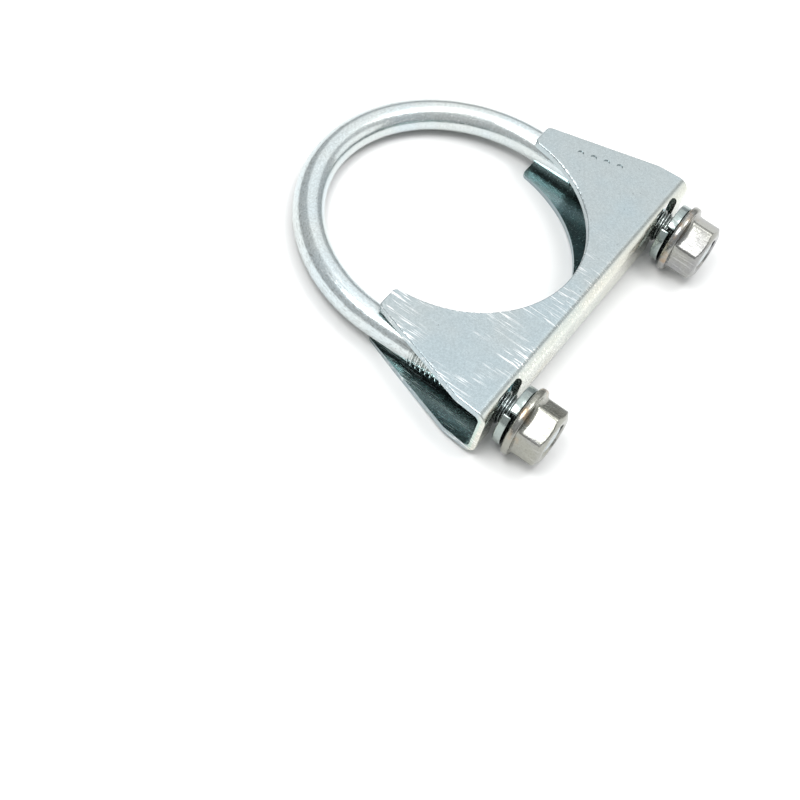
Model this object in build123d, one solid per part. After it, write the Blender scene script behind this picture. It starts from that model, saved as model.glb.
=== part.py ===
from build123d import *
import math
import os

# U-bolt pipe clamp: a bent threaded rod, a pressed saddle, two split washers and two flange nuts.
# Millimetres. The origin is the centre of the saddle's pipe seat. +Z is the pipe's axis, +Y
# points at the crown of the U, and the legs run along -Y. +X is the right leg's side.

# Pipe and rod
pipe_radius = 28.6  # the saddle's seat
bow_clearance = 1.7  # between each leg and that pipe; the crown just touches it
crest_radius = 3.88  # outside of the rod's thread
thread_depth = 0.63
blank_drop = 0.38  # the rolled thread stands this far proud of the plain rod

# Thread, M8 x 1.25, right-hand
thread_pitch = 1.25
thread_length = 35.2
crest_width = 0.16
flank_slope = math.tan(math.radians(30))
axial_play = 0.13  # each side of the rod's ridge in the nut's groove
crest_play = 0.17  # radial gap at crest and root
end_chamfer = 0.8
runout = 1.4  # cone from shank to full thread
sink = 0.05  # overlap that joins a ridge to its core

# Saddle, pressed from sheet
sheet = 1.6
channel_play = 1.02  # between the thread and each flange
bend_radius = 2.8  # outside of the bend
web_gap = 6.4  # from the seat's lowest point to the web's outer face
tip_drop = 1.8  # ear tips stop this far short of the seat's centre
tip_width = 6.1
tip_corner = 1.3
shoulder_rise = 8.0  # ear's shoulder over the web's outer face
shoulder_overhang = 9.4  # shoulder, out from the leg's axis
web_overhang = 10.2  # web's end, out from the leg's axis
shoulder_round = 7.0
rim_round = 0.35  # rolled edge where the die has drawn the sheet over
hole_play = 0.95  # each side of the thread, along the web
hole_bite = 1.0  # how far the leg's hole breaks into each bend
hole_corner = 1.6
mark_depth = 0.25  # round size marks on the right ear
mark_radius = 0.75
mark_pitch = 3.1
mark_count = 4
mark_inset = 4.6  # row of marks, in from the ear's sloping edge

# Flange nut
nut_height = 8.0
nut_flats = 12.0
flange_reach = 2.0  # flange, out from the flats
flange_rim = 1.8  # flange, at its edge
flange_round = 0.6  # forged edges of the flange
cone_angle = 24.0
end_face_inset = 0.6  # nut's round end face, in from the flats
leg_end_inset = 0.3  # rod's end, inside the nut's far face

# Split washer
washer_bore_play = 0.2
washer_section_width = 2.9
washer_thickness = 2.0
washer_offset = 0.75  # one end stands this far off the other
washer_gap_angle = 8.0
washer_split_angle = 42.0  # from +Z towards -X
washer_face_gap = 0.05  # off the nut's bearing face
washer_travel = 1.3  # free space between washer and saddle

# Worked out from the values above
root_radius = crest_radius - thread_depth
shank_radius = crest_radius - blank_drop
leg_offset = pipe_radius + bow_clearance + shank_radius
bow_y = -bow_clearance
channel_half = crest_radius + channel_play + sheet
web_y = -(pipe_radius + web_gap)
washer_height = washer_thickness + washer_offset * (1 - washer_gap_angle / 360)
washer_y = web_y - washer_travel
nut_face_y = washer_y - washer_height - washer_face_gap
leg_end_y = nut_face_y - nut_height + leg_end_inset
thread_start_y = leg_end_y + thread_length
nut_minor_radius = root_radius + crest_play
groove_radius = crest_radius + crest_play
flange_radius = nut_flats / 2 + flange_reach
shoulder = (leg_offset + shoulder_overhang, web_y + shoulder_rise)
tip = (math.sqrt(pipe_radius**2 - tip_drop**2) + tip_width, -tip_drop)


def along_leg(shape, side, y):
    """Turn a shape made along +Z so that it runs along -Y, from height y on one leg's axis."""
    return Pos(side * leg_offset, y, 0) * Rot(90, 0, 0) * shape


def half_width(radius):
    """Half the rod ridge's width, along the rod, at a radius."""
    return crest_width / 2 + (crest_radius - radius) * flank_slope


def helix_band(r_inner, r_outer, play, turns, start):
    """A right-hand helical band that is the rod's ridge, widened by a play on each flank."""
    path = Helix(pitch=thread_pitch, height=turns * thread_pitch, radius=r_inner)
    inner, outer = half_width(r_inner) + play, half_width(r_outer) + play
    depth = r_outer - r_inner
    section = Plane(origin=path @ 0, x_dir=(1, 0, 0), z_dir=path % 0) * make_face(
        Polyline((0, -inner), (depth, -outer), (depth, outer), (0, inner), close=True)
    )
    return Pos(0, 0, start) * sweep(section, path=path, is_frenet=True)


def solid_of_revolution(points):
    """Turn a closed (radius, height) outline round the Z axis."""
    return revolve(Plane.XZ * make_face(Polyline(*points, close=True)), Axis.Z)


def threaded_leg():
    """Leg thread along +Z from 0: core, run-out cone, helical ridge and chamfered end."""
    core = Cylinder(root_radius, thread_length, align=(Align.CENTER, Align.CENTER, Align.MIN))
    turns = math.floor(thread_length / thread_pitch) + 2
    ridge = helix_band(root_radius - sink, crest_radius, 0, turns, -thread_pitch)
    envelope = solid_of_revolution(
        [
            (0, 0),
            (root_radius + sink, 0),
            (crest_radius + sink, runout),
            (crest_radius + sink, thread_length - end_chamfer),
            (crest_radius - end_chamfer, thread_length),
            (0, thread_length),
        ]
    )
    return (core & envelope) + (ridge & envelope)


def u_bolt():
    """The rod: a half-circle bow, two plain legs and two threaded ends."""
    bow_and_legs = Wire(
        [
            Edge.make_line((leg_offset, thread_start_y, 0), (leg_offset, bow_y, 0)),
            Edge.make_three_point_arc(
                (leg_offset, bow_y, 0), (0, bow_y + leg_offset, 0), (-leg_offset, bow_y, 0)
            ),
            Edge.make_line((-leg_offset, bow_y, 0), (-leg_offset, thread_start_y, 0)),
        ]
    )
    section = Plane(origin=(leg_offset, thread_start_y, 0), z_dir=(0, 1, 0)) * Circle(shank_radius)
    rod = sweep(section, path=bow_and_legs)
    step = solid_of_revolution(
        [(0, 0), (shank_radius, 0), (root_radius, shank_radius - root_radius), (0, 1)]
    )
    for side in (1, -1):
        rod += along_leg(step, side, thread_start_y)
        rod += along_leg(threaded_leg(), side, thread_start_y)
    return rod


def corners_at(face, y):
    return [v for v in face.vertices() if abs(v.Y - y) < 0.01]


def saddle_outline():
    """The pressing seen along the pipe: a sloping ear each side of the seat, and the web below."""
    right = [(leg_offset + web_overhang, web_y - 1), shoulder, tip]
    left = [(-x, y) for x, y in reversed(right)]
    blank = make_face(Polyline(*right, *left, close=True))
    blank = fillet(corners_at(blank, tip[1]), tip_corner)
    blank = fillet(corners_at(blank, shoulder[1]), shoulder_round)
    blank -= Circle(pipe_radius)
    seat_ends = [v for v in corners_at(blank, tip[1]) if abs(v.X) < tip[0] - tip_width + 0.01]
    return fillet(seat_ends, tip_corner)


def channel_section(inset, corner):
    """The channel's outside, or its inside when inset by the sheet, as a face across the web."""
    depth = -web_y - inset
    half = channel_half - inset
    section = Plane.YZ * Rectangle(2 * depth, 2 * half)
    return fillet(corners_at(section, -depth), corner)


def saddle():
    """Sheet channel with two seat arcs, a leg hole at each end of its web, and size marks."""
    section = channel_section(0, bend_radius) - channel_section(sheet, bend_radius - sheet)
    channel = extrude(section, leg_offset + web_overhang + 1, both=True)
    pressing = channel & extrude(saddle_outline(), channel_half, both=True)
    hole = RectangleRounded(
        2 * (crest_radius + hole_play), 2 * (channel_half - sheet + hole_bite), hole_corner
    )
    for side in (1, -1):
        across = Plane(origin=(side * leg_offset, web_y, 0), x_dir=(1, 0, 0), z_dir=(0, 1, 0))
        pressing -= extrude(across * hole, bend_radius, both=True)
    pressing = fillet(outer_rims(pressing), rim_round)
    for x, y in mark_places():
        pressing -= Pos(x, y, channel_half) * Cylinder(mark_radius, 2 * mark_depth)
    return pressing


def outer_rims(pressing):
    """Edges all round each flange's outer face, where the die has drawn the sheet over."""
    bend_line = web_y + bend_radius
    faces = [f for f in pressing.faces() if abs(abs(f.center().Z) - channel_half) < 0.01]
    edges = [e for f in faces for e in f.edges()]
    return [e for e in edges if abs(e.center().Y - bend_line) > 0.05]


def mark_places():
    """A row of round marks beside the right ear's sloping edge, on the upper flange."""
    run, drop = shoulder[0] - tip[0], tip[1] - shoulder[1]
    slope = math.hypot(run, drop)
    along, inward = (run / slope, -drop / slope), (-drop / slope, -run / slope)
    first = (slope - (mark_count - 1) * mark_pitch) / 2
    steps = [first + k * mark_pitch for k in range(mark_count)]
    return [
        (
            tip[0] + along[0] * step + inward[0] * mark_inset,
            tip[1] + along[1] * step + inward[1] * mark_inset,
        )
        for step in steps
    ]


def flange_nut():
    """Nut along +Z from its bearing face at 0, with its thread in step with the leg's."""
    hex_corner = nut_flats / math.sqrt(3)
    flat_end = nut_flats / 2 - end_face_inset
    cone_foot = nut_flats / 2 - 1
    cone_rise = (flange_radius - flange_round - cone_foot) * math.tan(math.radians(cone_angle))
    flange = solid_of_revolution(
        [
            (0, 0),
            (flange_radius - flange_round, 0),
            (flange_radius, flange_round),
            (flange_radius, flange_rim - flange_round),
            (flange_radius - flange_round, flange_rim),
            (cone_foot, flange_rim + cone_rise),
            (0, flange_rim + cone_rise),
        ]
    )
    prism = Rot(0, 0, 30) * extrude(RegularPolygon(hex_corner, 6), nut_height)
    rounded_off = solid_of_revolution(
        [
            (0, 0),
            (hex_corner, 0),
            (hex_corner, nut_height - (hex_corner - flat_end) * flank_slope),
            (flat_end, nut_height),
            (0, nut_height),
        ]
    )
    flare = groove_radius + 0.1 - nut_minor_radius
    bore = solid_of_revolution(
        [
            (0, 0),
            (nut_minor_radius + flare, 0),
            (nut_minor_radius, flare),
            (nut_minor_radius, nut_height - flare),
            (nut_minor_radius + flare, nut_height),
            (0, nut_height),
        ]
    )
    distance = thread_start_y - nut_face_y
    lead = thread_pitch * math.floor(distance / thread_pitch - 1) - distance
    turns = math.ceil(nut_height / thread_pitch) + 3
    groove = helix_band(nut_minor_radius - sink, groove_radius, axial_play, turns, lead)
    return flange + (prism & rounded_off) - bore - groove


def split_washer():
    """Washer along +Z from its web-side face at 0: one turn of square wire with its ends apart."""
    inner = crest_radius + washer_bore_play
    middle = inner + washer_section_width / 2
    turn = 1 - washer_gap_angle / 360
    path = Helix(pitch=washer_offset, height=washer_offset * turn, radius=middle)
    section = Plane(origin=path @ 0, x_dir=(1, 0, 0), z_dir=path % 0) * Rectangle(
        washer_section_width, washer_thickness
    )
    ring = sweep(section, path=path, is_frenet=True)
    turned = 90 + washer_split_angle + washer_gap_angle / 2
    return Pos(0, 0, washer_thickness / 2) * Rot(0, 0, turned) * ring


os.makedirs("parts", exist_ok=True)
export_step(u_bolt(), "parts/u_bolt.step")
export_step(saddle(), "parts/saddle.step")
for name, side in (("right", 1), ("left", -1)):
    export_step(along_leg(flange_nut(), side, nut_face_y), f"parts/flange_nut_{name}.step")
    export_step(along_leg(split_washer(), side, washer_y), f"parts/spring_washer_{name}.step")
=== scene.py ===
"""Looks of the U-bolt pipe clamp: zinc-plated rod, pressed saddle, split washers and flange nuts."""

import math

import bmesh
import bpy
from mathutils import Matrix, Vector


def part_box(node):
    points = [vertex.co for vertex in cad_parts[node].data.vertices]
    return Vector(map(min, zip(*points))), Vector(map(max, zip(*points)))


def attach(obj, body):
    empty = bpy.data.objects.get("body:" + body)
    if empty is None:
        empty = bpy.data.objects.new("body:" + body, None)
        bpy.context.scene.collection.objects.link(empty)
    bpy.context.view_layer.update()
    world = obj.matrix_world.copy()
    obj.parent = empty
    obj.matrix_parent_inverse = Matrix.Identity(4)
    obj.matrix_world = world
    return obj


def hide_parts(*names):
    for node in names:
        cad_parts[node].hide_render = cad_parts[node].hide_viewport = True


MM = 0.001

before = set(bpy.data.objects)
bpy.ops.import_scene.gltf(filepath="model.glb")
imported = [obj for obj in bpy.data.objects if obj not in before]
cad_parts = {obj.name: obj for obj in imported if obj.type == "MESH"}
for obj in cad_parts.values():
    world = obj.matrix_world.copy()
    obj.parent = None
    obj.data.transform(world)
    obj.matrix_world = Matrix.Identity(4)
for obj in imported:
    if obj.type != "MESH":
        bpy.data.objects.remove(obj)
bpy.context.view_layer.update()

# Sizes in millimetres, in the CAD frame: +Z along the pipe, legs along -Y
ROD_LOW, ROD_HIGH = (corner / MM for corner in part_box("u_bolt"))
NUT_LOW, NUT_HIGH = (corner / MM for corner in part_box("flange_nut_right"))
WASHER_LOW, WASHER_HIGH = (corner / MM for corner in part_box("spring_washer_right"))
SADDLE_LOW, SADDLE_HIGH = (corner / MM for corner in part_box("saddle"))
LEG_X = (NUT_LOW.x + NUT_HIGH.x) / 2
CREST_RADIUS = ROD_HIGH.x - LEG_X
THREAD_DEPTH = 0.63
ROOT_RADIUS = CREST_RADIUS - THREAD_DEPTH
BLANK_DROP = 0.38
SHANK_RADIUS = CREST_RADIUS - BLANK_DROP
PITCH = 1.25
THREAD_LENGTH = 35.2
THREAD_RUNOUT = 1.8
END_CHAMFER = 0.8
THREAD_CREST = 0.16
THREAD_PLAY = 0.17
LEG_END_Y = ROD_LOW.y
THREAD_START_Y = LEG_END_Y + THREAD_LENGTH
BOW_Y = ROD_HIGH.y - LEG_X - SHANK_RADIUS

NUT_FACE_Y = NUT_HIGH.y
NUT_HEIGHT = NUT_HIGH.y - NUT_LOW.y
NUT_FLATS = 12.0
FLANGE_RADIUS = (NUT_HIGH.x - NUT_LOW.x) / 2
FLANGE_RIM = 1.8
FLANGE_SLOPE = math.tan(math.radians(24))
CHAMFER_SLOPE = math.tan(math.radians(30))
END_FACE_RADIUS = 5.4
FLANGE_EDGE = 0.75  # size of the flange's rounded edge
HEX_FOOT = 0.7  # size of the blend from the flange's top to a flat
HEX_SOFTNESS = 0.22  # size of the soft edge between a flat and the end chamfer
NUT_BORE = ROOT_RADIUS + THREAD_PLAY
NUT_FLARE = THREAD_DEPTH + 0.1
NUT_MOUTH = NUT_BORE + NUT_FLARE

SHEET = 1.6
BEND_RADIUS = 2.8

WASHER_THICKNESS = 2.0
WASHER_WIDTH = 2.9
WASHER_CORNER = 0.28
WASHER_OFFSET = 0.75
WASHER_GAP = math.radians(8)
WASHER_SPLIT = math.radians(42)

ROUND_STEPS = 96  # columns round a nut or a thread
BOW_STEPS = 120
LEG_STEPS = 12
THREAD_STRANDS = 10
MERGE_DISTANCE = 0.001


# Meshes


def ease(t):
    """Smooth step from 0 to 1."""
    t = min(max(t, 0), 1)
    return t * t * (3 - 2 * t)


def make_piece(name, points, faces, sharp_degrees=50):
    """A closed mesh piece from points in millimetres, with its seams merged."""
    mesh = bpy.data.meshes.new(name)
    mesh.from_pydata([Vector(p) * MM for p in points], [], faces)
    work = bmesh.new()
    work.from_mesh(mesh)
    bmesh.ops.remove_doubles(work, verts=work.verts, dist=MERGE_DISTANCE * MM)
    bmesh.ops.recalc_face_normals(work, faces=work.faces)
    work.to_mesh(mesh)
    work.free()
    mesh.shade_smooth()
    mesh.set_sharp_from_angle(angle=math.radians(sharp_degrees))
    piece = bpy.data.objects.new(name, mesh)
    bpy.context.scene.collection.objects.link(piece)
    return piece


def add_rings(points, faces, rings):
    """Adds rings of points, each of the same count, joined in order by four-sided faces."""
    first = len(points)
    count = len(rings[0])
    for ring in rings:
        points.extend(ring)
    for row in range(len(rings) - 1):
        for i in range(count):
            a = first + row * count + i
            b = first + row * count + (i + 1) % count
            faces.append((a, b, b + count, a + count))


def along_leg(side, start_y, radius, angle, height):
    """A point at a radius, angle and height of a leg's own frame, whose height runs along -Y."""
    x = side * LEG_X + radius * math.cos(angle)
    return (x, start_y - height, radius * math.sin(angle))


def leg_ring(side, start_y, radius, height):
    """A ring of points round a leg, at one radius and height."""
    steps = range(ROUND_STEPS)
    return [along_leg(side, start_y, radius, math.tau * i / ROUND_STEPS, height) for i in steps]


def thread_shape(offset, softness=0.35):
    """How far up the ridge is, 0 at root and 1 at crest, at an offset along the rod from its middle."""
    crest_half = THREAD_CREST / 2
    foot_half = crest_half + THREAD_DEPTH * CHAMFER_SLOPE
    rise = min(max((foot_half - abs(offset)) / (foot_half - crest_half), 0), 1)
    return (1 - softness) * rise + softness * ease(rise)


def add_thread(points, faces, side, start_y, low, high, ridge_at_zero, radius_at):
    """Right-hand thread skin between two heights, as strands that each follow the helix."""
    first_ridge = ridge_at_zero - PITCH * (math.ceil((ridge_at_zero - low) / PITCH) + 1)
    steps = math.ceil((high - first_ridge + PITCH) / PITCH) * ROUND_STEPS
    first = len(points)
    for strand in range(THREAD_STRANDS):
        offset = (strand / THREAD_STRANDS - 0.5) * PITCH
        for step in range(steps):
            turn = step / ROUND_STEPS
            height = min(max(first_ridge + turn * PITCH + offset, low), high)
            radius = radius_at(height, offset)
            points.append(along_leg(side, start_y, radius, math.tau * turn, height))
    for strand in range(THREAD_STRANDS):
        a = first + strand * steps
        b = a + steps if strand < THREAD_STRANDS - 1 else first + ROUND_STEPS
        last = steps - 1 if strand < THREAD_STRANDS - 1 else steps - 1 - ROUND_STEPS
        faces.extend((a + i, a + i + 1, b + i + 1, b + i) for i in range(last))


def leg_thread_radius(height, offset):
    """Rolled thread: it grows out of the plain rod and ends in a chamfer."""
    full = ROOT_RADIUS + THREAD_DEPTH * thread_shape(offset)
    radius = SHANK_RADIUS + (full - SHANK_RADIUS) * ease(height / THREAD_RUNOUT)
    return min(radius, CREST_RADIUS - max(height - THREAD_LENGTH + END_CHAMFER, 0))


def wire_centres():
    """The plain rod's sections, up the right leg and over the bow: x, y and turn of each."""
    centres = []
    for i in range(LEG_STEPS):
        y = THREAD_START_Y + (BOW_Y - THREAD_START_Y) * i / LEG_STEPS
        centres.append((LEG_X, y, 0))
    for i in range(BOW_STEPS + 1):
        turn = math.pi * i / BOW_STEPS
        centres.append((LEG_X * math.cos(turn), BOW_Y + LEG_X * math.sin(turn), turn))
    for i in range(LEG_STEPS):
        y = BOW_Y + (THREAD_START_Y - BOW_Y) * (i + 1) / LEG_STEPS
        centres.append((-LEG_X, y, math.pi))
    return centres


def wire_ring(x, y, turn):
    """The plain rod's round section about a centre, square to the rod there."""
    ring = []
    for i in range(ROUND_STEPS):
        angle = math.tau * i / ROUND_STEPS
        out = SHANK_RADIUS * math.cos(angle)
        z = SHANK_RADIUS * math.sin(angle)
        ring.append((x + out * math.cos(turn), y + out * math.sin(turn), z))
    return ring


def add_end_face(points, faces, side):
    """The slightly dished end of a leg, inside the thread's chamfer."""
    radius = CREST_RADIUS - END_CHAMFER
    dish = ((0, 0), (0.12, 0.02), (radius / 2, 0.12), (radius, 0.15))
    rings = [
        leg_ring(side, THREAD_START_Y, radius - inset, THREAD_LENGTH - depth)
        for inset, depth in dish
    ]
    add_rings(points, faces, rings)


def rod_piece():
    """The whole rod: bow, legs and rolled threads."""
    points, faces = [], []
    add_rings(points, faces, [wire_ring(*centre) for centre in wire_centres()])
    for side in (1, -1):
        add_thread(
            points, faces, side, THREAD_START_Y, 0, THREAD_LENGTH, 0, leg_thread_radius
        )
        add_end_face(points, faces, side)
    piece = make_piece("bent_rod", points, faces, 60)
    store_wire_coordinates(piece)
    return piece


def store_wire_coordinates(piece):
    """Per point: distance along the rod, and where it is in the rod's section, in millimetres."""
    wire = piece.data.attributes.new("wire", "FLOAT_VECTOR", "POINT")
    for i, vertex in enumerate(piece.data.vertices):
        x, y, z = vertex.co / MM
        if y > BOW_Y:
            turn = math.atan2(y - BOW_Y, x)
            wire.data[i].vector = (LEG_X * turn, math.hypot(x, y - BOW_Y) - LEG_X, z)
        else:
            side = math.copysign(1, x)
            along = (y - BOW_Y) if side > 0 else LEG_X * math.pi - (y - BOW_Y)
            wire.data[i].vector = (along, side * x - LEG_X, z)


def hex_radius(angle):
    """Radius of the nut's rounded hexagon, whose flats face 0, 60 and 120 degrees."""
    sharpness = 46
    terms = (abs(math.cos(angle - math.radians(60 * k))) ** sharpness for k in range(3))
    return NUT_FLATS / 2 / sum(terms) ** (1 / sharpness)


def curve_through(a, b, c, steps):
    """Points of a soft corner that leaves a towards b and arrives at c from b."""
    out = []
    for i in range(steps + 1):
        t = i / steps
        out.append(
            tuple((1 - t) ** 2 * p + 2 * t * (1 - t) * q + t * t * r for p, q, r in zip(a, b, c))
        )
    return out


def flange_height(radius):
    """Height of the flange's sloping top at a radius."""
    return FLANGE_RIM + (FLANGE_RADIUS - FLANGE_EDGE - radius) * FLANGE_SLOPE


def chamfer_height(radius):
    """Height of the hexagon's end chamfer at a radius."""
    return NUT_HEIGHT - (radius - END_FACE_RADIUS) * CHAMFER_SLOPE


def flange_outline():
    """(radius, height) from the bearing face's mouth, round the flange's edge, to its top."""
    edge = FLANGE_RADIUS - FLANGE_EDGE
    bearing_radius = FLANGE_RADIUS - 1.6
    outline = [(NUT_MOUTH, 0), (bearing_radius, 0)]
    outline += curve_through((edge, 0), (FLANGE_RADIUS, 0), (FLANGE_RADIUS, FLANGE_EDGE), 5)
    outline += curve_through(
        (FLANGE_RADIUS, FLANGE_RIM - FLANGE_EDGE),
        (FLANGE_RADIUS, FLANGE_RIM + 0.1),
        (edge, flange_height(edge)),
        5,
    )
    return outline


def hex_outline(angle):
    """(radius, height) from the flange's top, up a flat or a corner, to the end face's mouth."""
    side = hex_radius(angle)
    shoulder = chamfer_height(side)
    inward = min(HEX_SOFTNESS, max(side - END_FACE_RADIUS, 0.02))
    foot = curve_through(
        (side + HEX_FOOT, flange_height(side + HEX_FOOT)),
        (side, flange_height(side)),
        (side, flange_height(side) + HEX_FOOT),
        6,
    )
    soft_edge = curve_through(
        (side, shoulder - HEX_SOFTNESS),
        (side, shoulder),
        (side - inward, chamfer_height(side - inward)),
        4,
    )
    end_edge = curve_through(
        (END_FACE_RADIUS + 0.02, NUT_HEIGHT - 0.01),
        (END_FACE_RADIUS - 0.05, NUT_HEIGHT),
        (END_FACE_RADIUS - 0.35, NUT_HEIGHT),
        3,
    )
    return foot + soft_edge + end_edge + [(NUT_MOUTH, NUT_HEIGHT)]


def nut_piece(name, side):
    """Flange nut with forged edges and its own thread."""
    points, faces = [], []
    angles = [math.tau * i / ROUND_STEPS for i in range(ROUND_STEPS)]
    columns = [flange_outline() + hex_outline(angle) for angle in angles]
    rings = [
        [
            along_leg(side, NUT_FACE_Y, radius, angle, height)
            for angle, (radius, height) in zip(angles, row)
        ]
        for row in zip(*columns)
    ]
    add_rings(points, faces, rings)
    distance = THREAD_START_Y - NUT_FACE_Y
    ridge = PITCH * math.ceil(distance / PITCH) - distance

    def groove_radius(height, offset):
        from_mouth = min(height, NUT_HEIGHT - height)
        return NUT_BORE + max(NUT_FLARE - from_mouth, THREAD_DEPTH * thread_shape(offset))

    add_thread(points, faces, side, NUT_FACE_Y, 0, NUT_HEIGHT, ridge, groove_radius)
    return make_piece(name, points, faces, 38)


def washer_section():
    """Outline of the washer's wire about its middle: square, with round corners."""
    corner_steps = 4
    section = []
    for quarter in range(4):
        middle_angle = math.pi / 4 + quarter * math.pi / 2
        u = math.copysign(WASHER_WIDTH / 2 - WASHER_CORNER, math.cos(middle_angle))
        v = math.copysign(WASHER_THICKNESS / 2 - WASHER_CORNER, math.sin(middle_angle))
        for i in range(corner_steps + 1):
            angle = (quarter + i / corner_steps) * math.pi / 2
            section.append((u + WASHER_CORNER * math.cos(angle), v + WASHER_CORNER * math.sin(angle)))
    return section


def washer_piece(name, side):
    """One turn of square wire with rounded corners, its cut ends standing apart."""
    points, faces = [], []
    section = washer_section()
    middle = (WASHER_HIGH.x - WASHER_LOW.x - WASHER_WIDTH) / 2
    turn = math.tau - WASHER_GAP
    start = math.pi / 2 + WASHER_SPLIT + WASHER_GAP / 2

    def ring_at(along, shrink):
        height = WASHER_THICKNESS / 2 + WASHER_OFFSET * along / math.tau
        return [
            along_leg(side, WASHER_HIGH.y, middle + u * shrink, start + along, height + v * shrink)
            for u, v in section
        ]

    bevel = 0.02
    cut_end = ((0, 0), (0, 0.9), (bevel * 0.4, 0.97), (bevel, 1))
    rings = [ring_at(along, shrink) for along, shrink in cut_end]
    rings += [ring_at(turn * i / ROUND_STEPS, 1) for i in range(1, ROUND_STEPS)]
    rings += [ring_at(turn - along, shrink) for along, shrink in reversed(cut_end)]
    add_rings(points, faces, rings)
    return make_piece(name, points, faces, 50)


# Materials

HAIR_COLOUR = (0.96, 0.97, 0.97)
PIT_COLOUR = (0.12, 0.12, 0.12)
SCUFF_COLOUR = (0.34, 0.36, 0.35)
STAIN_COLOUR = (0.42, 0.27, 0.15)
WEB_HIGHLIGHT_TINT = (1.45, 1.3, 1.14)
CHANNEL_SHADE_TINT = (0.9, 1.02, 1.0)


class Paint:
    """Builds one material's nodes in a few words."""

    def __init__(self, name):
        self.material = bpy.data.materials.new(name)
        self.material.use_nodes = True
        self.tree = self.material.node_tree
        self.surface = self.tree.nodes["Principled BSDF"]

    def add(self, kind, inputs, output=0, **settings):
        """A new node with these inputs; gives one of its outputs."""
        node = self.tree.nodes.new(kind)
        for key, value in settings.items():
            setattr(node, key, value)
        for key, value in inputs.items():
            self.feed(node.inputs[key], value)
        return node.outputs[output]

    def feed(self, socket, value):
        """Links an output to a socket, or sets the socket to a constant."""
        if isinstance(value, bpy.types.NodeSocket):
            self.tree.links.new(value, socket)
        elif isinstance(value, tuple) and len(value) == 3 and socket.type == "RGBA":
            socket.default_value = (*value, 1)
        else:
            socket.default_value = value

    def millimetres(self):
        """The piece's own coordinates, in millimetres."""
        place = self.add("ShaderNodeTexCoord", {}, "Object")
        return self.stretch(place, 1 / MM, 1 / MM, 1 / MM)

    def stretch(self, vector, x, y, z):
        return self.add("ShaderNodeVectorMath", {0: vector, 1: (x, y, z)}, operation="MULTIPLY")

    def noise(self, vector, scale, detail=3.0, roughness=0.5):
        """Fractal noise that varies about 0.5."""
        inputs = {"Vector": vector, "Scale": scale, "Detail": detail, "Roughness": roughness}
        return self.add("ShaderNodeTexNoise", inputs, "Fac")

    def step(self, value, low, high, top=1.0):
        """0 at low rising smoothly to top at high."""
        inputs = {0: value, 1: low, 2: high, 3: 0.0, 4: top}
        return self.add("ShaderNodeMapRange", inputs, interpolation_type="SMOOTHSTEP")

    def calculate(self, operation, a, b):
        return self.add("ShaderNodeMath", {0: a, 1: b}, operation=operation)

    def multiply_add(self, value, factor, addend):
        inputs = {0: value, 1: factor, 2: addend}
        return self.add("ShaderNodeMath", inputs, operation="MULTIPLY_ADD")

    def blend(self, factor, a, b, mode="MIX"):
        """Colour a at factor 0 and b at factor 1."""
        inputs = {0: factor, 6: a, 7: b}
        return self.add("ShaderNodeMix", inputs, 2, data_type="RGBA", blend_type=mode)

    def crevices(self, reach):
        """1 on open surface, towards 0 deep in gaps narrower than reach millimetres."""
        inputs = {"Distance": reach * MM}
        return self.add("ShaderNodeAmbientOcclusion", inputs, "AO", samples=8)

    def axis(self, vector, name):
        """One coordinate of a vector: X, Y or Z."""
        return self.add("ShaderNodeSeparateXYZ", {0: vector}, name)

    def relief(self, height, depth):
        """Bump from a 0 to 1 height, as deep as depth millimetres."""
        return self.add("ShaderNodeBump", {"Strength": 1.0, "Distance": depth * MM, "Height": height})


def open_within(reach):
    """How open a surface is, from 0 deep in a gap to 1 on a bare face, judged within a reach; it sets
    where painted shade darkens the colour.
    """
    return lambda paint: paint.step(paint.crevices(reach), 0.12, 0.85)


def evenly(amount):
    """The same amount of scratches everywhere."""
    return lambda paint: amount


def drag_lines(paint, where, drawn, scratches):
    """Bright hairs, in patches, as strong as scratches gives."""
    patches = paint.step(paint.noise(where, 0.09, 2), 0.36, 0.58)
    hairs = paint.step(paint.noise(drawn, 1.0, 2, 0.6), 0.555, 0.65)
    hairs = paint.calculate("MULTIPLY", hairs, patches)
    return paint.calculate("MULTIPLY", hairs, scratches(paint))


def plate_colour(paint, where, grain, cool, warm, speckle):
    """Slow drift between two tints, darkened and lightened by the grain."""
    drift = paint.noise(where, 0.07, 2)
    colour = paint.blend(paint.step(drift, 0.35, 0.65), cool, warm)
    shade = paint.multiply_add(paint.step(grain, 0.32, 0.68), speckle * 0.4, 1 - speckle * 0.22)
    return paint.blend(1.0, colour, shade, "MULTIPLY")


def plate_roughness(paint, grain, hairs, rough):
    """Rough on average as given, changed by the grain and rougher on the drag lines."""
    swing = 0.22
    roughness = paint.multiply_add(grain, swing, rough - swing / 2)
    return paint.calculate("ADD", roughness, paint.calculate("MULTIPLY", hairs, 0.18))


def plate_relief(paint, where, grain, hairs, pits, grit):
    """Grain, drag lines, pits and slow waves, as bump."""
    waves = paint.calculate("MULTIPLY", paint.noise(where, 0.35), 4.0)
    height = paint.calculate("ADD", grain, paint.calculate("MULTIPLY", hairs, 0.5))
    height = paint.calculate("SUBTRACT", height, pits)
    return paint.relief(paint.calculate("ADD", height, waves), grit)


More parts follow.
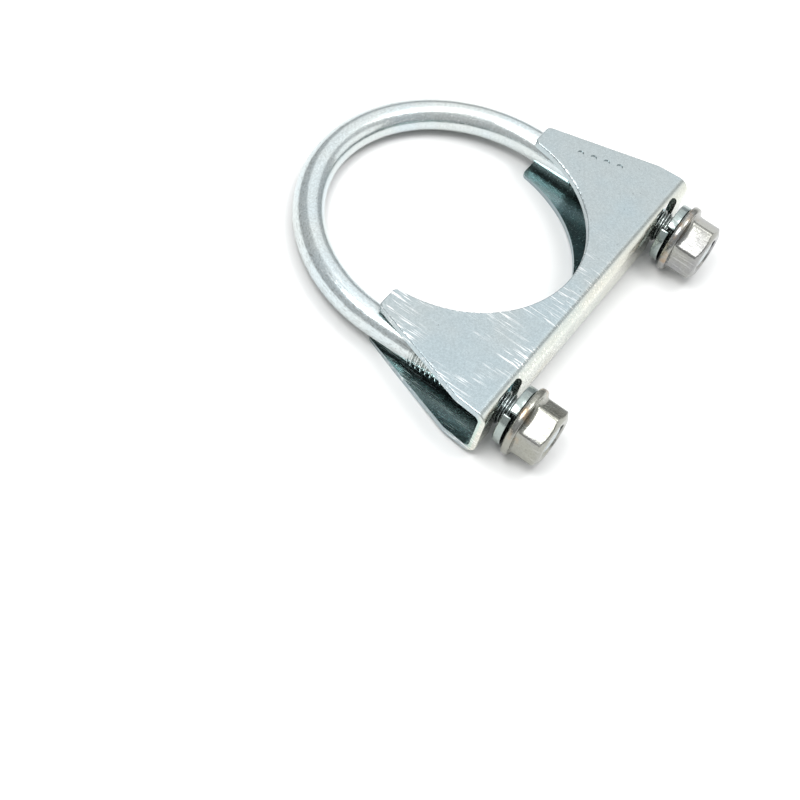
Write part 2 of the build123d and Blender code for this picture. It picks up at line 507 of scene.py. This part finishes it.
def zinc(
    name,
    cool,
    warm,
    place,
    lines,
    speckle=0.5,
    scratches=evenly(0.2),
    rough=0.24,
    grit=0.012,
    openness=open_within(2.0),
    gap_shade_colour=(0.07, 0.09, 0.1),
    tone=None,
):
    """Zinc plate: slow colour drift, fine grain, bright drag lines, dark pits, and painted shade in
    gaps.

    place and lines are functions: place gives coordinates in millimetres, and lines the same
    coordinates drawn out along the scratches. scratches, openness and tone are functions too, and
    tone changes the colour over parts of the piece.
    """
    paint = Paint(name)
    where = place(paint)
    grain = paint.noise(where, 2.4, 5, 0.62)
    hairs = drag_lines(paint, where, lines(paint), scratches)
    pits = paint.step(paint.noise(where, 1.1, 3, 0.7), 0.68, 0.75)
    colour = plate_colour(paint, where, grain, cool, warm, speckle)
    colour = paint.blend(hairs, colour, HAIR_COLOUR)
    colour = paint.blend(paint.calculate("MULTIPLY", pits, 0.7), colour, PIT_COLOUR)
    if tone:
        colour = tone(paint, colour)
    # Painted shade: ambient occlusion darkens the base colour towards the gap shade colour in crevices
    # and between parts.
    colour = paint.blend(openness(paint), gap_shade_colour, colour)
    paint.feed(paint.surface.inputs["Base Color"], colour)
    paint.feed(paint.surface.inputs["Roughness"], plate_roughness(paint, grain, hairs, rough))
    paint.feed(paint.surface.inputs["Normal"], plate_relief(paint, where, grain, hairs, pits, grit))
    paint.surface.inputs["Metallic"].default_value = 1.0
    return paint.material


def along_legs(paint):
    """The millimetre frame, drawn out along the legs."""
    return paint.stretch(paint.millimetres(), 2.4, 0.15, 2.4)


def wire_place(paint):
    """The rod's own coordinates: along it, outward from its middle line, and Z."""
    return paint.add("ShaderNodeAttribute", {}, "Vector", attribute_name="wire")


def along_wire(paint):
    """The same coordinates, drawn out along the rod."""
    return paint.stretch(wire_place(paint), 0.12, 2.6, 2.6)


def rod_tone(paint, colour):
    """Dull scuffs from the bending die on the outer half of the rod."""
    wire = wire_place(paint)
    outer_half = paint.step(paint.axis(wire, "Y"), 0.2, 2.6)
    marks = paint.noise(paint.stretch(wire, 0.9, 3.0, 3.0), 1.0, 4, 0.7)
    scuffs = paint.step(marks, 0.53, 0.63, 0.65)
    return paint.blend(paint.calculate("MULTIPLY", outer_half, scuffs), colour, SCUFF_COLOUR)


def rod_zinc():
    cool, warm = (0.64, 0.71, 0.73), (0.67, 0.71, 0.7)
    return zinc(
        "rod_zinc",
        cool,
        warm,
        wire_place,
        along_wire,
        speckle=0.45,
        rough=0.22,
        # Painted shade: the rod's thread and gaps darken within a 5 mm reach, such as between the
        # saddle and the washers.
        openness=open_within(5.0),
        gap_shade_colour=(0.13, 0.15, 0.14),
        tone=rod_tone,
    )


def saddle_scratches(paint):
    """More drag lines on the left half."""
    return paint.step(paint.axis(paint.millimetres(), "X"), 22.0, -15.0)


def saddle_tone(paint, colour):
    """Painted highlight: lighter and warmer round the bends and over the web; painted shade: a teal
    tint on the channel's inner faces.
    """
    place = paint.millimetres()
    height, across = paint.axis(place, "Y"), paint.calculate("ABSOLUTE", paint.axis(place, "Z"), 0.0)
    web_y = SADDLE_LOW.y
    inner_z = SADDLE_HIGH.z - SHEET
    web = paint.step(height, web_y + BEND_RADIUS, web_y + 0.5)
    # Painted highlight: the bends and the web are painted lighter and warmer.
    colour = paint.blend(web, colour, WEB_HIGHLIGHT_TINT, "MULTIPLY")
    outside = paint.step(across, inner_z + 0.02, inner_z + 0.06)
    web_outside = paint.step(height, web_y + SHEET * 0.7, web_y + SHEET * 0.5)
    shown = paint.calculate("MAXIMUM", outside, web_outside)
    # Painted shade: a slight teal tint on the channel's inner faces.
    return paint.blend(shown, paint.blend(1.0, colour, CHANNEL_SHADE_TINT, "MULTIPLY"), colour)


def saddle_openness(paint):
    """The flanges' outer faces, with their shallow marks, count as open, so no painted gap shade falls
    on them.
    """
    across = paint.calculate("ABSOLUTE", paint.axis(paint.millimetres(), "Z"), 0.0)
    outer_face = paint.step(across, SADDLE_HIGH.z - 0.5, SADDLE_HIGH.z - 0.3)
    return paint.calculate("MAXIMUM", open_within(2.0)(paint), outer_face)


def saddle_zinc():
    cool, warm = (0.455, 0.535, 0.565), (0.48, 0.535, 0.545)
    return zinc(
        "saddle_zinc",
        cool,
        warm,
        Paint.millimetres,
        along_legs,
        speckle=0.4,
        scratches=saddle_scratches,
        grit=0.005,
        openness=saddle_openness,
        tone=saddle_tone,
    )


def nut_tone(paint, colour):
    """Brown stain on the flange."""
    place = paint.millimetres()
    flange = paint.step(paint.axis(place, "Y"), NUT_FACE_Y - 3.2, NUT_FACE_Y - 2.0)
    stain = paint.step(paint.noise(place, 0.22, 3), 0.54, 0.68, 0.6)
    return paint.blend(paint.calculate("MULTIPLY", flange, stain), colour, STAIN_COLOUR)


def nut_zinc():
    cool, warm = (0.3, 0.3, 0.31), (0.34, 0.34, 0.3)
    return zinc(
        "nut_zinc", cool, warm, Paint.millimetres, along_legs, grit=0.009, tone=nut_tone
    )


def washer_zinc():
    cool, warm = (0.31, 0.39, 0.41), (0.37, 0.42, 0.4)
    return zinc(
        "washer_zinc",
        cool,
        warm,
        Paint.millimetres,
        along_legs,
        speckle=0.3,
        rough=0.2,
        grit=0.008,
        openness=open_within(3.0),
    )


# Camera and studio

FLOOR_REACH = 3000  # millimetres from the middle to each edge
SOFTBOXES = (
    # name, direction from the clamp, distance and size in metres, power in watts
    ("key", (-0.397, 0.186, 0.899), 0.9, 0.36, 3.8),
    ("panel", (0.58, 0.186, 0.793), 1.2, 1.2, 2.3),
    ("low", (0.55, -0.79, 0.27), 1.5, 1.0, 2.3),
    ("overhead", (0.22, -0.25, 0.94), 0.9, 0.3, 1.8),
)


def add_camera():
    """A long lens, up and to the left of the clamp, rolled so that the legs run down to the right."""
    azimuth, elevation, roll = math.radians(-72.25), math.radians(52.51), math.radians(20.2)
    target = Vector((-47.3, -17.3, 0)) * MM
    distance = 441.2 * MM
    back = Vector(
        (
            math.sin(azimuth) * math.cos(elevation),
            -math.cos(azimuth) * math.cos(elevation),
            math.sin(elevation),
        )
    )
    data = bpy.data.cameras.new("camera")
    data.sensor_width = 36
    data.lens = 96.9
    data.dof.use_dof = False
    data.clip_start = 0.01
    camera = bpy.data.objects.new("camera", data)
    camera.location = target + back * distance
    look = (-back).to_track_quat("-Z", "Y").to_matrix().to_4x4()
    camera.rotation_euler = (look @ Matrix.Rotation(roll, 4, "Z")).to_euler()
    bpy.context.scene.collection.objects.link(camera)
    bpy.context.scene.camera = camera


def add_floor():
    """A pale table under the nuts' flanges and the crown of the U, which stand at unlike heights."""
    contact_y = NUT_FACE_Y - FLANGE_RIM / 2
    contact_z = -FLANGE_RADIUS
    slope = (-SHANK_RADIUS - contact_z) / (BOW_Y + LEG_X - contact_y)
    corners = [
        Vector((x, y, contact_z + (y - contact_y) * slope)) * MM
        for x, y in (
            (-FLOOR_REACH, -FLOOR_REACH),
            (FLOOR_REACH, -FLOOR_REACH),
            (FLOOR_REACH, FLOOR_REACH),
            (-FLOOR_REACH, FLOOR_REACH),
        )
    ]
    mesh = bpy.data.meshes.new("floor")
    mesh.from_pydata(corners, [], [(0, 1, 2, 3)])
    floor = bpy.data.objects.new("floor", mesh)
    bpy.context.scene.collection.objects.link(floor)
    paper = bpy.data.materials.new("floor_paper")
    paper.use_nodes = True
    shader = paper.node_tree.nodes["Principled BSDF"]
    shader.inputs["Base Color"].default_value = (0.92, 0.92, 0.915, 1)
    shader.inputs["Roughness"].default_value = 0.9
    floor.data.materials.append(paper)


def add_softbox(name, direction, distance, size, power):
    """A square area light at a direction and distance from the clamp, facing it."""
    data = bpy.data.lights.new(name, "AREA")
    data.shape = "SQUARE"
    data.size = size
    data.energy = power
    light = bpy.data.objects.new(name, data)
    away = Vector(direction).normalized()
    light.location = away * distance
    light.rotation_euler = (-away).to_track_quat("-Z", "Y").to_euler()
    bpy.context.scene.collection.objects.link(light)


def add_world():
    """Studio walls: dim at the horizon, paler higher up and bright straight overhead."""
    world = bpy.data.worlds.new("studio")
    world.use_nodes = True
    tree = world.node_tree
    place = tree.nodes.new("ShaderNodeTexCoord")
    split = tree.nodes.new("ShaderNodeSeparateXYZ")
    ramp = tree.nodes.new("ShaderNodeValToRGB")
    tree.links.new(place.outputs["Generated"], split.inputs[0])
    tree.links.new(split.outputs["Z"], ramp.inputs[0])
    tree.links.new(ramp.outputs[0], tree.nodes["Background"].inputs["Color"])
    low, high = ramp.color_ramp.elements
    low.color = (0.48, 0.49, 0.495, 1)
    high.color = (1.5, 1.52, 1.54, 1)
    for sine, grey in ((0.75, 0.62), (0.9, 0.78)):
        ramp.color_ramp.elements.new(sine).color = (grey, grey * 1.02, grey * 1.03, 1)
    bpy.context.scene.world = world


def place_pieces():
    """Puts each fine piece over its CAD node, on the same body, and paints all six."""
    made = [(rod_piece(), "u_bolt", "u_bolt", "rod_zinc", rod_zinc())]
    nut_paint, washer_paint = nut_zinc(), washer_zinc()
    for name, side in (("right", 1), ("left", -1)):
        nut = nut_piece(f"nut_{name}_forged", side)
        made.append((nut, f"flange_nut_{name}", f"nut_{name}", "nut_zinc", nut_paint))
        washer = washer_piece(f"washer_{name}_wire", side)
        made.append(
            (washer, f"spring_washer_{name}", f"washer_{name}", "washer_zinc", washer_paint)
        )
    for piece, node, body, slot, paint in made:
        piece.data.materials.append(paint)
        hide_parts(node)
        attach(piece, body)
    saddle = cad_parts["saddle"]
    saddle.data.materials.clear()
    saddle.data.materials.append(saddle_zinc())


place_pieces()
add_camera()
add_floor()
add_world()
for softbox in SOFTBOXES:
    add_softbox(*softbox)
bpy.context.scene.view_settings.view_transform = "Standard"
